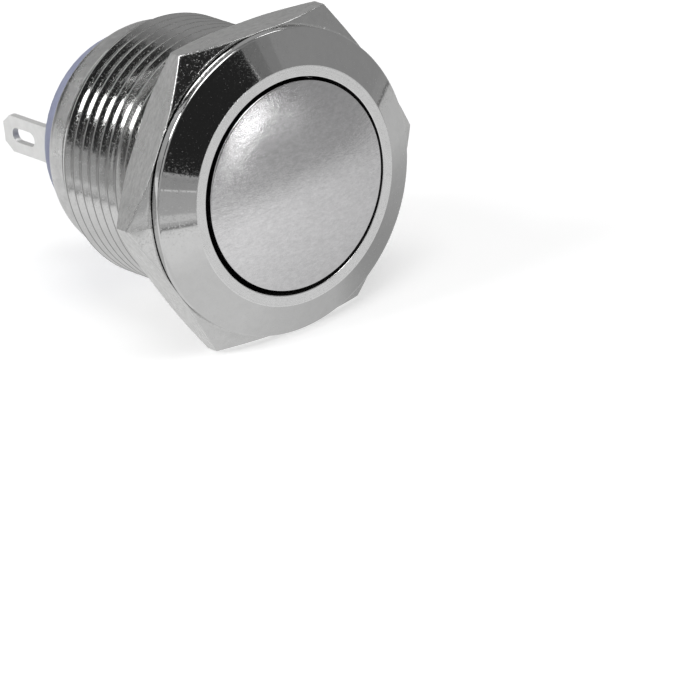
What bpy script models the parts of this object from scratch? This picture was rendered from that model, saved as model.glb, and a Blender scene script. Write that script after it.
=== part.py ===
"""Anti vandal push button for a round panel hole, built piece by piece.

The button stands with its axis along world Y: the cap faces -Y, the terminals point to +Y and +Z is up.
The origin is the centre of the flange's back face, which lies on the front of the panel.
Each piece is drawn in the frame of the empty button_axis. There z is the level along the axis, positive
towards the front, x is to the right as the user sees it, and y is up.
"""
import math

import bmesh
import bpy
from mathutils import Matrix

MM = 0.001
GAP = 0.3 * MM                        # room between two pieces that touch on the real button
STEPS = 56                            # faces round a turned piece
SMALL_STEPS = 28                      # faces round a small turned piece

# Housing: one turned piece with flange, thread, inner web and turned-in rear lip
thread_radius = 9.5 * MM
thread_depth = 0.6 * MM
thread_pitch = 1.0 * MM
thread_crest = 0.13 * MM
thread_root = 0.2 * MM
thread_sink = 0.2 * MM                # how far the teeth reach into the wall below them
thread_start = 0.3 * MM
flange_overhang = 1.5 * MM
flange_thickness = 1.9 * MM
rim_height = 0.65 * MM
rim_back_round = 0.2 * MM
face_ring_width = 0.8 * MM
bore_edge = 0.1 * MM
front_wall = 1.1 * MM
rear_wall = 0.75 * MM
web_thickness = 1.0 * MM
end_groove_width = 0.5 * MM
end_groove_depth = 1.0 * MM
barrel_step = 0.85 * MM
barrel_length = 2.2 * MM
barrel_round = 1.0 * MM
lip_thickness = 0.3 * MM
lip_hold = 0.1 * MM

# Push cap with its stem, seal and clip
travel = 1.5 * MM
cap_play = 0.3 * MM
cap_rise = 0.1 * MM
cap_stop = 0.8 * MM
cap_roof = 1.0 * MM
cap_edge_round = 0.12 * MM
dome_height = 0.9 * MM
seal_wire = 0.4 * MM
seal_below_edge = 1.0 * MM
skirt_below_seal = 0.6 * MM
skirt_behind_seal = 0.8 * MM
stem_radius = 3.0 * MM
stem_below_clip = 0.5 * MM
spigot_radius = 1.4 * MM
spigot_length = 1.9 * MM
clip_thickness = 0.5 * MM
clip_width = 1.8 * MM
clip_groove_depth = 0.8 * MM
clip_mouth = 3.6 * MM
return_wire = 0.25 * MM
return_turns = 3.5

# Plunger, its cross pin and its guide
plunger_radius = 3.0 * MM
plunger_length = 2.3 * MM
pin_radius = 0.25 * MM
pin_depth = 0.75 * MM
pin_end_inset = 0.1 * MM
tail_radius = 1.0 * MM
tail_past_clip = 0.6 * MM
sleeve_wall = 0.8 * MM
guide_thickness = 1.0 * MM
guide_below_plunger = 0.8 * MM

# Moving contact on the plunger's tail
contact_spring_length = 1.1 * MM
contact_spring_radius = 2.0 * MM
contact_wire = 0.12 * MM
contact_turns = 2.5
contact_from_blade = 1.32 * MM
bridge_thickness = 0.4 * MM
bridge_width = 2.4 * MM
bridge_past_tip = 1.1 * MM
bridge_hub_wall = 1.0 * MM
tip_radius = 0.8 * MM
tip_thickness = 0.3 * MM
tip_shank_radius = 0.35 * MM
bridge_clip_thickness = 0.4 * MM
bridge_clip_width = 0.6 * MM
bridge_clip_groove = 0.4 * MM

# Terminals: bent blades
blade_thickness = 0.5 * MM
blade_width = 2.8 * MM
blade_from_edge = 2.13 * MM
blade_reach = 7.15 * MM
bend_radius = 0.4 * MM
tip_cut_along = 0.9 * MM
tip_cut_across = 0.65 * MM
slot_width = 1.1 * MM
slot_length = 2.7 * MM
slot_from_tip = 1.05 * MM
dimple_radius = 0.5 * MM
dimple_depth = 0.2 * MM
dimple_from_face = 1.0 * MM
foot_past_tip = 0.3 * MM

# Moulded base with a square boss, blade pockets and a small vent hole
gasket_thickness = 0.5 * MM
base_flange_thickness = 1.0 * MM
neck_step = 0.55 * MM
disc_play = 0.3 * MM
disc_above_mouth = 0.6 * MM
disc_thickness = 1.5 * MM
disc_round = 0.8 * MM
boss_width = 4.6 * MM
boss_height = 4.8 * MM
boss_length = 5.05 * MM
boss_right = -0.7 * MM
boss_up = -1.05 * MM
boss_round = 0.35 * MM
pocket_width = 2.0 * MM
pocket_height = 3.5 * MM
pocket_depth = 0.6 * MM
pocket_shift = -0.4 * MM
notch_width = 1.7 * MM
notch_height = 2.1 * MM
notch_right = 3.55 * MM
notch_up = -4.15 * MM
vent_radius = 0.42 * MM
vent_depth = 1.2 * MM
vent_right = -3.0 * MM
vent_up = 2.4 * MM

# Nut
nut_wall = 1.5 * MM                   # metal between the thread's crests and a flat
nut_thickness = 2.6 * MM
nut_from_flange = 0.3 * MM
nut_corner_start = 0.2 * MM
nut_corner_slope = math.radians(30)
nut_dish_width = 0.55 * MM
nut_dish_depth = 0.2 * MM
nut_mouth = 0.45 * MM

# Radii that follow from the sizes above
thread_core = thread_radius - thread_depth
flange_radius = thread_radius + flange_overhang
cap_bore_radius = thread_core - front_wall
face_ring_radius = cap_bore_radius + face_ring_width
cap_radius = cap_bore_radius - cap_play
seal_groove_floor = cap_radius - 2 * seal_wire - GAP
cavity_radius = seal_groove_floor - skirt_behind_seal
return_coil_radius = (cavity_radius + stem_radius) / 2
stem_hole_radius = stem_radius + GAP
clip_inner = stem_radius - clip_groove_depth + GAP
rear_bore_radius = thread_core - rear_wall
sleeve_radius = rear_bore_radius - GAP
base_flange_radius = rear_bore_radius - GAP
mouth_radius = base_flange_radius - lip_hold
barrel_radius = thread_radius - barrel_step
disc_radius = mouth_radius - disc_play
bridge_hole_radius = tail_radius + GAP
bridge_clip_floor = tail_radius - bridge_clip_groove
nut_bore = thread_radius + GAP
nut_flat = thread_radius + nut_wall
nut_corner = nut_flat / math.cos(math.pi / 6)
nut_corner_circle = nut_flat + nut_corner_start
blade_place = disc_radius - blade_from_edge
contact_place = blade_place - contact_from_blade

# Levels along the axis that follow from the sizes above
cap_edge = flange_thickness + cap_rise
roof_back = cap_edge - cap_roof
seal_level = cap_edge - seal_below_edge - GAP - seal_wire
skirt_back = seal_level - seal_wire - GAP - skirt_below_seal
web_front = skirt_back - travel - cap_stop
web_back = web_front - web_thickness
clip_front = web_back - GAP
clip_back = clip_front - clip_thickness
stem_end = clip_back - GAP - stem_below_clip
spigot_end = stem_end - spigot_length
plunger_front = stem_end - GAP
plunger_back = plunger_front - plunger_length
pin_level = plunger_front - pin_depth
guide_front = plunger_front - guide_below_plunger
guide_back = guide_front - guide_thickness
contact_spring_front = plunger_back - GAP
contact_spring_back = contact_spring_front - contact_spring_length
bridge_front = contact_spring_back - GAP
bridge_back = bridge_front - bridge_thickness
bridge_clip_front = bridge_back - GAP
bridge_clip_back = bridge_clip_front - bridge_clip_thickness
tail_end = bridge_clip_back - GAP - tail_past_clip
moving_tip_front = bridge_back - GAP
moving_tip_back = moving_tip_front - tip_thickness
fixed_tip_front = moving_tip_back - travel - GAP
fixed_tip_back = fixed_tip_front - tip_thickness
foot_front = fixed_tip_back - GAP
foot_back = foot_front - blade_thickness
base_front = foot_back - GAP
base_flange_back = base_front - base_flange_thickness
lip_front = base_flange_back - GAP
body_back = lip_front - lip_thickness
barrel_front = body_back + barrel_length
thread_end = barrel_front + end_groove_width
sleeve_front = web_back - GAP
gasket_back = base_front + GAP
gasket_front = gasket_back + gasket_thickness
sleeve_back = gasket_front + GAP
disc_front = body_back - disc_above_mouth
base_face = disc_front - disc_thickness
boss_end = base_face - boss_length
blade_tip = base_face - blade_reach
nut_front = -nut_from_flange
nut_back = nut_front - nut_thickness


def clear_scene():
    """Remove whatever the file opened with."""
    for thing in list(bpy.data.objects):
        bpy.data.objects.remove(thing, do_unlink=True)


def new_collection(name):
    made = bpy.data.collections.new(name)
    bpy.context.scene.collection.children.link(made)
    return made


def new_empty(name, parent):
    """An axis that pieces hang on."""
    made = bpy.data.objects.new(name, None)
    made.empty_display_size = 5 * MM
    made.parent = parent
    pieces.objects.link(made)
    return made


def new_material(name, colour, roughness, metallic):
    """A plain Principled finish."""
    made = bpy.data.materials.new(name)
    made.use_nodes = True
    shader = made.node_tree.nodes["Principled BSDF"]
    shader.inputs["Base Color"].default_value = (*colour, 1.0)
    shader.inputs["Roughness"].default_value = roughness
    shader.inputs["Metallic"].default_value = metallic
    made.diffuse_color = (*colour, 1.0)
    return made


def linked(name, data, group):
    made = bpy.data.objects.new(name, data)
    group.objects.link(made)
    return made


def settled(blank, group):
    """Turn a curve or a modified object into a welded mesh, smooth apart from its sharp edges."""
    bpy.context.view_layer.update()
    depsgraph = bpy.context.evaluated_depsgraph_get()
    mesh = bpy.data.meshes.new_from_object(blank.evaluated_get(depsgraph), depsgraph=depsgraph)
    mesh.transform(blank.matrix_world)
    name = blank.name
    bpy.data.objects.remove(blank, do_unlink=True)
    mesh.name = name
    bm = bmesh.new()
    bm.from_mesh(mesh)
    bmesh.ops.remove_doubles(bm, verts=bm.verts, dist=0.001 * MM)
    bmesh.ops.recalc_face_normals(bm, faces=bm.faces)
    bm.to_mesh(mesh)
    bm.free()
    mesh.shade_smooth()
    mesh.set_sharp_from_angle(angle=math.radians(30))
    return linked(name, mesh, group)


def turned(name, profile, closed=True, steps=STEPS, group=None):
    """Turn a profile of (radius, level) points about z. It runs down its outer side, top to bottom."""
    edges = [(i, i + 1) for i in range(len(profile) - 1)]
    if closed:
        edges.append((len(profile) - 1, 0))
    mesh = bpy.data.meshes.new(name)
    mesh.from_pydata([(radius, 0.0, level) for radius, level in profile], edges, [])
    blank = linked(name, mesh, cutters)
    screw = blank.modifiers.new("turn", "SCREW")
    screw.axis = "Z"
    screw.steps = steps
    screw.render_steps = steps
    screw.use_merge_vertices = True
    screw.merge_threshold = 0.001 * MM
    return settled(blank, group or pieces)


def rod(name, radius, low, high, place=(0.0, 0.0), steps=SMALL_STEPS, group=None):
    """A plain round bar between two levels, with its centre at (x, y)."""
    mesh = bpy.data.meshes.new(name)
    bm = bmesh.new()
    bmesh.ops.create_cone(bm, cap_ends=True, segments=steps, radius1=radius, radius2=radius,
                          depth=high - low)
    bm.to_mesh(mesh)
    bm.free()
    blank = linked(name, mesh, cutters)
    blank.location = (*place, (high + low) / 2)
    return settled(blank, group or pieces)


def prism(name, outlines, thickness, group=None):
    """Extrude flat outlines of (x, y) points about z = 0. An outline inside another one is a hole."""
    curve = bpy.data.curves.new(name, "CURVE")
    curve.dimensions = "2D"
    curve.fill_mode = "BOTH"
    curve.extrude = thickness / 2
    for outline in outlines:
        spline = curve.splines.new("POLY")
        spline.points.add(len(outline) - 1)
        for point, (x, y) in zip(spline.points, outline):
            point.co = (x, y, 0.0, 1.0)
        spline.use_cyclic_u = True
    return settled(linked(name, curve, cutters), group or pieces)


def coil(name, radius, wire, turns, low, high):
    """A coil of round wire about z, from level low to level high over its outside."""
    curve = bpy.data.curves.new(name, "CURVE")
    curve.dimensions = "3D"
    curve.bevel_depth = wire
    curve.bevel_resolution = 2
    curve.use_fill_caps = True
    spline = curve.splines.new("POLY")
    count = int(turns * 20)
    spline.points.add(count)
    rise = high - low - 2 * wire
    for index, point in enumerate(spline.points):
        share = index / count
        angle = 2 * math.pi * turns * share
        level = low + wire + rise * share
        point.co = (radius * math.cos(angle), radius * math.sin(angle), level, 1.0)
    return settled(linked(name, curve, cutters), pieces)


def box(name, centre, size, group=None):
    """A box whose size is in its mesh."""
    mesh = bpy.data.meshes.new(name)
    bm = bmesh.new()
    bmesh.ops.create_cube(bm, size=1.0, matrix=Matrix.Translation(centre) @ Matrix.Diagonal((*size, 1.0)))
    bm.to_mesh(mesh)
    bm.free()
    return linked(name, mesh, group or cutters)


def combine(target, other, operation):
    """Cut, join or intersect a piece with a shape from the cutters' collection."""
    other.hide_render = True
    other.display_type = "WIRE"
    step = target.modifiers.new(other.name, "BOOLEAN")
    step.object = other
    step.operation = operation
    step.solver = "EXACT"


def finish(piece, material, parent):
    """Give a piece its material and hang it on its axis."""
    piece.data.materials.clear()
    piece.data.materials.append(material)
    piece.parent = parent
    for modifier in piece.modifiers:
        if modifier.type == "BOOLEAN":
            modifier.object.parent = parent


def arc(centre, radius, start, end, count):
    """Points of an arc about centre, with its angles in degrees."""
    angles = [math.radians(start + (end - start) * i / count) for i in range(count + 1)]
    return [(centre[0] + radius * math.cos(a), centre[1] + radius * math.sin(a)) for a in angles]


def circle(centre, radius, count):
    return arc(centre, radius, 0, 360 - 360 / count, count - 1)


def make_housing():
    """Flange, threaded barrel, inner web and a rear lip that is turned in over the base."""
    round_centre = (barrel_radius - barrel_round, body_back + barrel_round)
    outside = [
        (cap_bore_radius + bore_edge, flange_thickness),
        (face_ring_radius, flange_thickness),
        (flange_radius, rim_height),
        (flange_radius, rim_back_round),
        (flange_radius - rim_back_round, 0.0),
        (thread_core, 0.0),
        (thread_core, thread_end),
        (thread_radius - end_groove_depth, thread_end),
        (thread_radius - end_groove_depth, barrel_front),
        (barrel_radius, barrel_front),
    ] + arc(round_centre, barrel_round, 0, -70, 5)
    inside = [
        (mouth_radius + bore_edge, body_back),
        (mouth_radius, body_back + bore_edge),
        (mouth_radius, lip_front),
        (rear_bore_radius, lip_front + rear_bore_radius - mouth_radius),
        (rear_bore_radius, web_back),
        (stem_hole_radius, web_back),
        (stem_hole_radius, web_front),
        (cap_bore_radius, web_front),
        (cap_bore_radius, flange_thickness - bore_edge),
    ]
    housing = turned("housing", outside + inside)
    combine(housing, make_teeth(), "UNION")
    finish(housing, bright_nickel, button_axis)


def make_teeth():
    """Helical teeth, right-handed, ended by a chamfer at the rear and a runout behind the flange."""
    wide = (thread_pitch - thread_root) / 2
    narrow = thread_crest / 2
    below = thread_core - thread_sink
    start = thread_end - thread_pitch / 2
    turns = math.ceil(-thread_end / thread_pitch) + 1
    profile = [(below, wide), (thread_core, wide), (thread_radius, narrow),
               (thread_radius, -narrow), (thread_core, -wide), (below, -wide)]
    mesh = bpy.data.meshes.new("teeth")
    edges = [(i, (i + 1) % len(profile)) for i in range(len(profile))]
    mesh.from_pydata([(radius, 0.0, start + level) for radius, level in profile], edges, [])
    blank = linked("teeth", mesh, cutters)
    screw = blank.modifiers.new("helix", "SCREW")
    screw.axis = "Z"
    screw.steps = STEPS
    screw.render_steps = STEPS
    screw.screw_offset = thread_pitch
    screw.iterations = turns
    teeth = capped(settled(blank, cutters))

    above = thread_radius + thread_sink
    rise = above - thread_core
    inside_wall = thread_end + 0.02 * MM
    envelope = turned("thread_ends", [
        (0.0, -thread_start), (thread_core, -thread_start), (above, -thread_start - rise),
        (above, inside_wall + rise), (thread_core, inside_wall), (0.0, inside_wall)],
        closed=False, group=cutters)
    combine(teeth, envelope, "INTERSECT")
    teeth = settled(teeth, cutters)
    bpy.data.objects.remove(envelope, do_unlink=True)
    return teeth


def capped(piece):
    """Close the two open ends of a swept profile."""
    bm = bmesh.new()
    bm.from_mesh(piece.data)
    bmesh.ops.holes_fill(bm, edges=[edge for edge in bm.edges if edge.is_boundary])
    bmesh.ops.recalc_face_normals(bm, faces=bm.faces)
    bm.to_mesh(piece.data)
    bm.free()
    return piece


def make_cap():
    """Domed cap with a seal groove in its skirt, a stem with a clip groove, and a spigot."""
    sphere = (cap_radius ** 2 + dome_height ** 2) / (2 * dome_height)
    reach = math.degrees(math.asin((cap_radius - cap_edge_round) / sphere))
    dome = arc((0.0, cap_edge + dome_height - sphere), sphere, 90, 90 - reach, 8)
    below_dome = [
        (cap_radius, dome[-1][1] - cap_edge_round),
        (cap_radius, seal_level + seal_wire + GAP),
        (seal_groove_floor, seal_level + seal_wire + GAP),
        (seal_groove_floor, seal_level - seal_wire - GAP),
        (cap_radius, seal_level - seal_wire - GAP),
        (cap_radius, skirt_back),
        (cavity_radius, skirt_back),
        (cavity_radius, roof_back),
        (stem_radius, roof_back),
        (stem_radius, clip_front + GAP),
        (stem_radius - clip_groove_depth, clip_front + GAP),
        (stem_radius - clip_groove_depth, clip_back - GAP),
        (stem_radius, clip_back - GAP),
        (stem_radius, stem_end),
        (spigot_radius, stem_end),
        (spigot_radius, spigot_end),
        (0.0, spigot_end),
    ]
    cap = turned("button_cap", dome + below_dome, closed=False)
    combine(cap, pin_hole, "DIFFERENCE")
    finish(cap, brushed_steel, press_axis)
    seal = turned("cap_seal", circle((cap_radius - seal_wire, seal_level), seal_wire, 8)[::-1])
    finish(seal, black_rubber, press_axis)


def make_cap_clip():
    """Flat clip with an open mouth, in the stem's groove behind the web."""
    outer = clip_inner + clip_width
    clip = turned("cap_clip", [(outer, clip_front), (outer, clip_back),
                               (clip_inner, clip_back), (clip_inner, clip_front)], steps=SMALL_STEPS)
    mouth = box("clip_mouth", (0.0, -outer, clip_front), (clip_mouth, 2 * outer, 4 * clip_thickness))
    combine(clip, mouth, "DIFFERENCE")
    finish(clip, spring_steel, press_axis)


def make_springs():
    """Return spring between the web and the cap's roof, and contact spring on the plunger's tail."""
    spring = coil("return_spring", return_coil_radius, return_wire, return_turns,
                  web_front + GAP, roof_back - GAP)
    finish(spring, spring_steel, button_axis)
    pressure = coil("contact_spring", contact_spring_radius, contact_wire, contact_turns,
                    contact_spring_back, contact_spring_front)
    finish(pressure, spring_steel, press_axis)


def make_plunger():
    """Plastic plunger with a socket for the cap's spigot and a tail that carries the moving contact."""
    profile = [
        (0.0, spigot_end - GAP),
        (spigot_radius + GAP, spigot_end - GAP),
        (spigot_radius + GAP, plunger_front),
        (plunger_radius, plunger_front),
        (plunger_radius, plunger_back),
        (tail_radius, plunger_back),
        (tail_radius, bridge_clip_front + GAP),
        (bridge_clip_floor, bridge_clip_front + GAP),
        (bridge_clip_floor, bridge_clip_back - GAP),
        (tail_radius, bridge_clip_back - GAP),
        (tail_radius, tail_end),
        (0.0, tail_end),
    ]
    plunger = turned("plunger", profile, closed=False, steps=SMALL_STEPS)
    combine(plunger, pin_hole, "DIFFERENCE")
    finish(plunger, black_plastic, press_axis)
    pin = cross_rod("stem_pin", pin_radius, plunger_radius - pin_end_inset, pieces)
    finish(pin, spring_steel, press_axis)


def cross_rod(name, radius, half_length, group):
    """A bar along x at the level of the pin."""
    bar = rod(name, radius, -half_length, half_length, steps=16, group=cutters)
    bar.rotation_euler.y = math.radians(90)
    bar.location.z = pin_level
    return settled(bar, group)


def make_guide():
    """Insulating sleeve in the rear bore, with a partition that guides the plunger, and its gasket."""
    inner = sleeve_radius - sleeve_wall
    guide_hole = plunger_radius + GAP
    sleeve = turned("guide_sleeve", [
        (sleeve_radius, sleeve_front), (sleeve_radius, sleeve_back), (inner, sleeve_back),
        (inner, guide_back), (guide_hole, guide_back), (guide_hole, guide_front),
        (inner, guide_front), (inner, sleeve_front)])
    finish(sleeve, white_plastic, button_axis)
    gasket = turned("base_gasket", [(sleeve_radius, gasket_front), (sleeve_radius, gasket_back),
                                    (inner, gasket_back), (inner, gasket_front)])
    finish(gasket, black_rubber, button_axis)


def make_moving_contact():
    """Bridge with a round hub and two riveted tips, held on the plunger's tail by a small ring."""
    half_length = contact_place + bridge_past_tip
    half_width = bridge_width / 2
    hub = bridge_hole_radius + bridge_hub_wall
    meet = math.degrees(math.asin(half_width / hub))
    outline = (arc((0.0, 0.0), hub, meet, 180 - meet, 10)
               + arc((-half_length + half_width, 0.0), half_width, 90, 270, 8)
               + arc((0.0, 0.0), hub, 180 + meet, 360 - meet, 10)
               + arc((half_length - half_width, 0.0), half_width, -90, 90, 8))
    holes = [circle((0.0, 0.0), bridge_hole_radius, 24)]
    for side in (-1, 1):
        holes.append(circle((side * contact_place, 0.0), tip_shank_radius + GAP, 16))
    bridge = prism("contact_bridge", [outline, *holes], bridge_thickness, cutters)
    bridge.location.z = (bridge_front + bridge_back) / 2
    finish(settled(bridge, pieces), copper_alloy, press_axis)

    for name, side in (("bridge_tip_left", -1), ("bridge_tip_right", 1)):
        tip = turned(name, [
            (0.0, bridge_front), (tip_shank_radius, bridge_front), (tip_shank_radius, moving_tip_front),
            (tip_radius, moving_tip_front), (tip_radius, moving_tip_back), (0.0, moving_tip_back)],
            closed=False, steps=16)
        tip.location.x = side * contact_place
        finish(tip, silver, press_axis)

    inner = bridge_clip_floor + GAP
    outer = inner + bridge_clip_width
    ring = turned("bridge_clip", [(outer, bridge_clip_front), (outer, bridge_clip_back),
                                  (inner, bridge_clip_back), (inner, bridge_clip_front)], steps=24)
    finish(ring, spring_steel, press_axis)


def make_terminal(name, tip_name, side):
    """A blade bent inwards into a foot that carries the fixed contact tip."""
    outer = blade_place + blade_thickness / 2
    inner = blade_place - blade_thickness / 2
    foot_end = contact_place - tip_radius - foot_past_tip
    bend = (inner - bend_radius, foot_back - bend_radius)
    strip = ([(side * foot_end, foot_back), (side * foot_end, foot_front)]
             + [(side * x, level) for x, level in arc(bend, bend_radius + blade_thickness, 90, 0, 5)]
             + [(side * outer, blade_tip), (side * inner, blade_tip)]
             + [(side * x, level) for x, level in arc(bend, bend_radius, 0, 90, 4)])
    blade = prism(name, [strip], blade_width, cutters)
    blade.rotation_euler.x = math.radians(90)
    blade = settled(blade, pieces)

    half = blade_width / 2
    slot_middle = blade_tip + slot_from_tip + slot_length / 2
    straight = (slot_length - slot_width) / 2
    slot = (arc((slot_middle + straight, 0.0), slot_width / 2, -90, 90, 8)
            + arc((slot_middle - straight, 0.0), slot_width / 2, 90, 270, 8))
    blank = [(foot_front + MM, -half), (foot_front + MM, half), (blade_tip + tip_cut_along, half),
             (blade_tip, half - tip_cut_across), (blade_tip, tip_cut_across - half),
             (blade_tip + tip_cut_along, -half)]
    shape = prism(name + "_shape", [blank, slot], 4 * blade_place, cutters)
    shape.rotation_euler.y = math.radians(-90)
    combine(blade, settled(shape, cutters), "INTERSECT")

    hole = rod(name + "_hole", tip_shank_radius + GAP, foot_back - MM, foot_front + MM,
               (side * contact_place, 0.0), 16, cutters)
    combine(blade, hole, "DIFFERENCE")

    sphere = (dimple_radius ** 2 + dimple_depth ** 2) / (2 * dimple_depth)
    mesh = bpy.data.meshes.new(name + "_dimple")
    bm = bmesh.new()
    bmesh.ops.create_uvsphere(bm, u_segments=24, v_segments=16, radius=sphere)
    bm.to_mesh(mesh)
    bm.free()
    dimple = linked(mesh.name, mesh, cutters)
    dimple.location = (side * (outer + sphere - dimple_depth), 0.0, base_face - dimple_from_face)
    combine(blade, dimple, "DIFFERENCE")
    finish(blade, tinned_brass, button_axis)

    tip = turned(tip_name, [
        (0.0, fixed_tip_front), (tip_radius, fixed_tip_front), (tip_radius, fixed_tip_back),
        (tip_shank_radius, fixed_tip_back), (tip_shank_radius, foot_back), (0.0, foot_back)],
        closed=False, steps=16)
    tip.location.x = side * contact_place
    finish(tip, silver, button_axis)


def make_base():
    """Moulded base: flange under the lip, neck, bevelled disc and boss, with its holes and pockets."""
    round_centre = (disc_radius - disc_round, base_face + disc_round)
    profile = [
        (0.0, base_front),
        (base_flange_radius, base_front),
        (base_flange_radius, base_flange_back),
        (disc_radius - neck_step, base_flange_back),
        (disc_radius - neck_step, disc_front),
        (disc_radius, disc_front),
    ] + arc(round_centre, disc_round, 0, -90, 5) + [(0.0, base_face)]
    base = turned("base", profile, closed=False)

    boss = box("boss", (boss_right, boss_up, base_face - boss_length / 2),
               (boss_width, boss_height, boss_length))
    for vertex in boss.data.vertices:
        if vertex.co.z > base_face - MM:
            vertex.co.z = base_face + pocket_depth
    edge = boss.modifiers.new("rounded edges", "BEVEL")
    edge.width = boss_round
    edge.segments = 3
    combine(base, boss, "UNION")

    for name, side in (("left", -1), ("right", 1)):
        slot = box("blade_slot_" + name, (side * blade_place, 0.0, (base_front + base_face) / 2),
                   (blade_thickness + 2 * GAP, blade_width + 2 * GAP, base_front - base_face + 2 * MM))
        combine(base, slot, "DIFFERENCE")
        pocket = box("pocket_" + name, (side * blade_place + pocket_shift, 0.0, base_face),
                     (pocket_width, pocket_height, 2 * pocket_depth))
        combine(base, pocket, "DIFFERENCE")
    notch = box("notch", (notch_right, notch_up, base_face), (notch_width, notch_height, 2 * pocket_depth))
    combine(base, notch, "DIFFERENCE")
    vent = rod("vent", vent_radius, base_face - MM, base_face + vent_depth,
               (vent_right, vent_up), 16, cutters)
    combine(base, vent, "DIFFERENCE")
    finish(base, blue_plastic, button_axis)


def make_nut():
    """Thin hexagon nut: a hexagon meets a turned blank with corner chamfers, dishes and a bore."""
    blank_radius = nut_corner + 0.1 * MM
    drop = (blank_radius - nut_corner_circle) * math.tan(nut_corner_slope)
    mouth = nut_bore + nut_mouth
    dish = mouth + nut_dish_width
    half_profile = [(nut_bore, nut_dish_depth + nut_mouth), (mouth, nut_dish_depth), (dish, 0.0),
                    (nut_corner_circle, 0.0), (blank_radius, drop)]
    front = [(radius, nut_front - inset) for radius, inset in half_profile]
    back = [(radius, nut_back + inset) for radius, inset in reversed(half_profile)]
    blank = turned("nut_blank", front + back, group=cutters)
    corners = arc((0.0, 0.0), nut_corner, 0, 300, 5)
    nut = prism("hex_nut", [corners], nut_thickness + 2 * MM, cutters)
    nut.location.z = (nut_front + nut_back) / 2
    nut = settled(nut, pieces)
    combine(nut, blank, "INTERSECT")
    finish(nut, satin_nickel, nut_axis)


clear_scene()
pieces = new_collection("anti_vandal_button")
cutters = new_collection("cutters")

bright_nickel = new_material("bright_nickel", (0.72, 0.71, 0.69), 0.12, 1.0)
satin_nickel = new_material("satin_nickel", (0.66, 0.66, 0.64), 0.34, 1.0)
brushed_steel = new_material("brushed_steel", (0.68, 0.67, 0.67), 0.3, 1.0)
spring_steel = new_material("spring_steel", (0.55, 0.55, 0.56), 0.25, 1.0)
copper_alloy = new_material("copper_alloy", (0.78, 0.45, 0.25), 0.3, 1.0)
silver = new_material("silver", (0.85, 0.84, 0.8), 0.25, 1.0)
tinned_brass = new_material("tinned_brass", (0.8, 0.79, 0.76), 0.3, 1.0)
black_rubber = new_material("black_rubber", (0.03, 0.03, 0.03), 0.7, 0.0)
black_plastic = new_material("black_plastic", (0.04, 0.04, 0.045), 0.45, 0.0)
white_plastic = new_material("white_plastic", (0.75, 0.74, 0.7), 0.5, 0.0)
blue_plastic = new_material("blue_plastic", (0.24, 0.27, 0.42), 0.55, 0.0)

# Local z becomes world -Y, and local y becomes world +Z
button_axis = new_empty("button_axis", None)
button_axis.rotation_euler.x = math.radians(90)
press_axis = new_empty("press_axis", button_axis)
nut_axis = new_empty("nut_axis", button_axis)

pin_hole = cross_rod("pin_hole", pin_radius + GAP, plunger_radius + MM, cutters)
make_housing()
make_cap()
make_cap_clip()
make_springs()
make_plunger()
make_guide()
make_moving_contact()
make_terminal("terminal_left", "fixed_tip_left", -1)
make_terminal("terminal_right", "fixed_tip_right", 1)
make_base()
make_nut()
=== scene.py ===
# %% [markdown]
# # Anti vandal push button
# A metal push button for a round hole in a panel. The finger meets a domed steel cap, the flange round it
# has a wide polished bevel, and a thin nut on the threaded barrel clamps the panel from behind. A blue
# grey moulding closes the rear and carries two blades for the wires.
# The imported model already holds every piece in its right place. This lesson gives the pieces their true
# surfaces: a real helical thread, polished and satin metal, grained plastic and rubber.

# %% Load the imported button
import math
import bmesh
import bpy
from mathutils import Matrix, Vector


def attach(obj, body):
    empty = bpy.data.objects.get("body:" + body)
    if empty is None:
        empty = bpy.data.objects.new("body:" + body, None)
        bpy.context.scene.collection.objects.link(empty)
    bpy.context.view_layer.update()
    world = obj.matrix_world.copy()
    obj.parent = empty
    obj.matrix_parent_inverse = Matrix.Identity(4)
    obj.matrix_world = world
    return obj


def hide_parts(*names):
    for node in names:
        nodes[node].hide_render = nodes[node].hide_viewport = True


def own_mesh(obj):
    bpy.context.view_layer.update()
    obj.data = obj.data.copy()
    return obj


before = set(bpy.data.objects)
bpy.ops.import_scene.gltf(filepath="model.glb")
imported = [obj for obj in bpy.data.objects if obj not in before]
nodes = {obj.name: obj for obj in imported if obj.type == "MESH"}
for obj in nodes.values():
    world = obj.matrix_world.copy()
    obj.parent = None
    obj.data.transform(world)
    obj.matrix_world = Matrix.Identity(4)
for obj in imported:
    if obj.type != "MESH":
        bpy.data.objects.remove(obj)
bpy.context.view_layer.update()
MM = 0.001

# %% [markdown]
# ## Camera
# The photograph was taken with a long lens from the upper left of the cap, about 0.4 m away, and the
# camera was a little tilted. A long lens keeps the round flange close to a true ellipse.
# A Track To constraint could aim the camera, but it would aim at the middle of the picture, and here the
# button lies at the upper left. So the camera's matrix is put together from its place, the direction in
# which it looks, and the roll that turns the picture.

# %% Camera
PICTURE_WIDTH = 700
FOCAL_LENGTH = 6312.8    # in pixels of that picture
SENSOR = 36.0
STANDING = (-0.24067, -0.33571, 0.15123)
camera_data = bpy.data.cameras.new("camera")
camera_data.sensor_width = SENSOR
camera_data.lens = FOCAL_LENGTH / PICTURE_WIDTH * SENSOR
camera_data.clip_start = 0.01
camera = bpy.data.objects.new("camera", camera_data)
bpy.context.scene.collection.objects.link(camera)
azimuth, elevation, roll = math.radians(-36.13), math.radians(21.71), math.radians(-6.68)
backward = Vector((math.sin(azimuth) * math.cos(elevation),
                   -math.cos(azimuth) * math.cos(elevation), math.sin(elevation)))
level_view = (-backward).to_track_quat("-Z", "Y").to_matrix()
camera.matrix_world = (Matrix.Translation(STANDING)
                       @ (level_view @ Matrix.Rotation(roll, 3, "Z")).to_4x4())
bpy.context.scene.camera = camera
print("lens", round(camera_data.lens), "mm, standing", round(camera.location.length * 1000), "mm away")

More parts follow.
